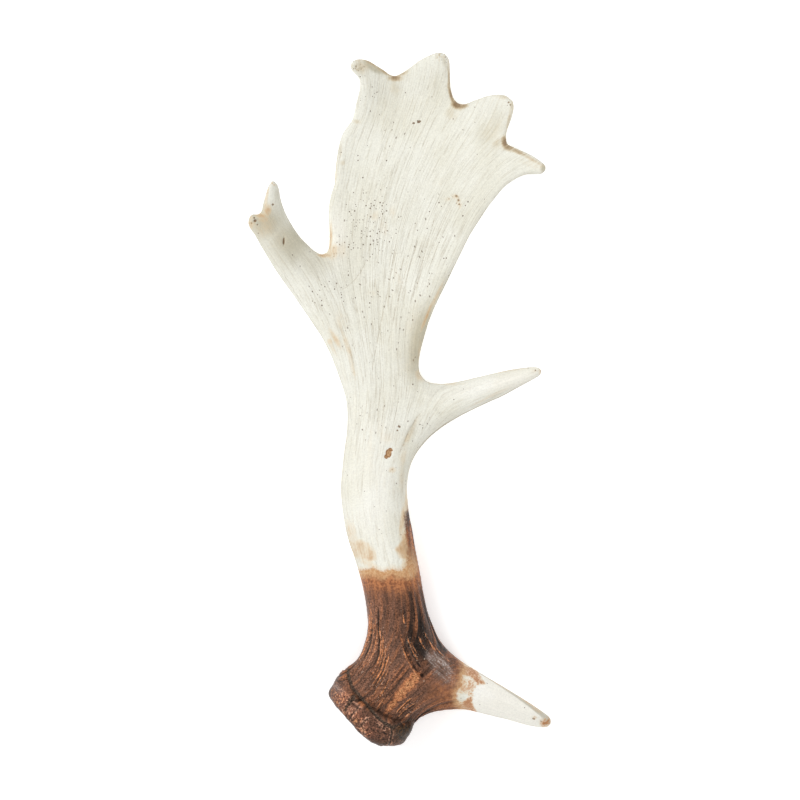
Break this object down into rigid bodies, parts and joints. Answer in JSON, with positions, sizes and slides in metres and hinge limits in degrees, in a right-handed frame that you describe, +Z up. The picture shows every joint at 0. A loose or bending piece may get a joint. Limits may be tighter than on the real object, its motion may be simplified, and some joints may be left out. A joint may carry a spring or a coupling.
{
  "type": "moose antler",
  "caption": "Shed palmate antler lying flat: brown burr and foot with a low brow tine, ivory beam with a middle tine, dished palm with points along its rim, and a forked back tine.",
  "frame": {"origin": "middle of the bounding box, on the surface the antler lies on", "axes": "+Y along the antler from the burr to the palm's points, +X towards the side the brow and middle tines point to, +Z up from the surface it lies on"},
  "size_m": [0.263, 0.6013, 0.0778],
  "materials": {
    "antler_ivory": "matte bare bone, faint beige fibre lines, fine pores and stains",
    "antler_brown": "dark brown antler foot with a slight sheen, lengthwise furrows and lighter worn ridges"
  },
  "bodies": {
    "root": {"burr_base": "antler_brown", "brow_tine": "antler_ivory", "beam": "antler_ivory", "middle_tine": "antler_ivory", "palm": "antler_ivory", "back_tine": "antler_ivory"}
  },
  "joints": []
}
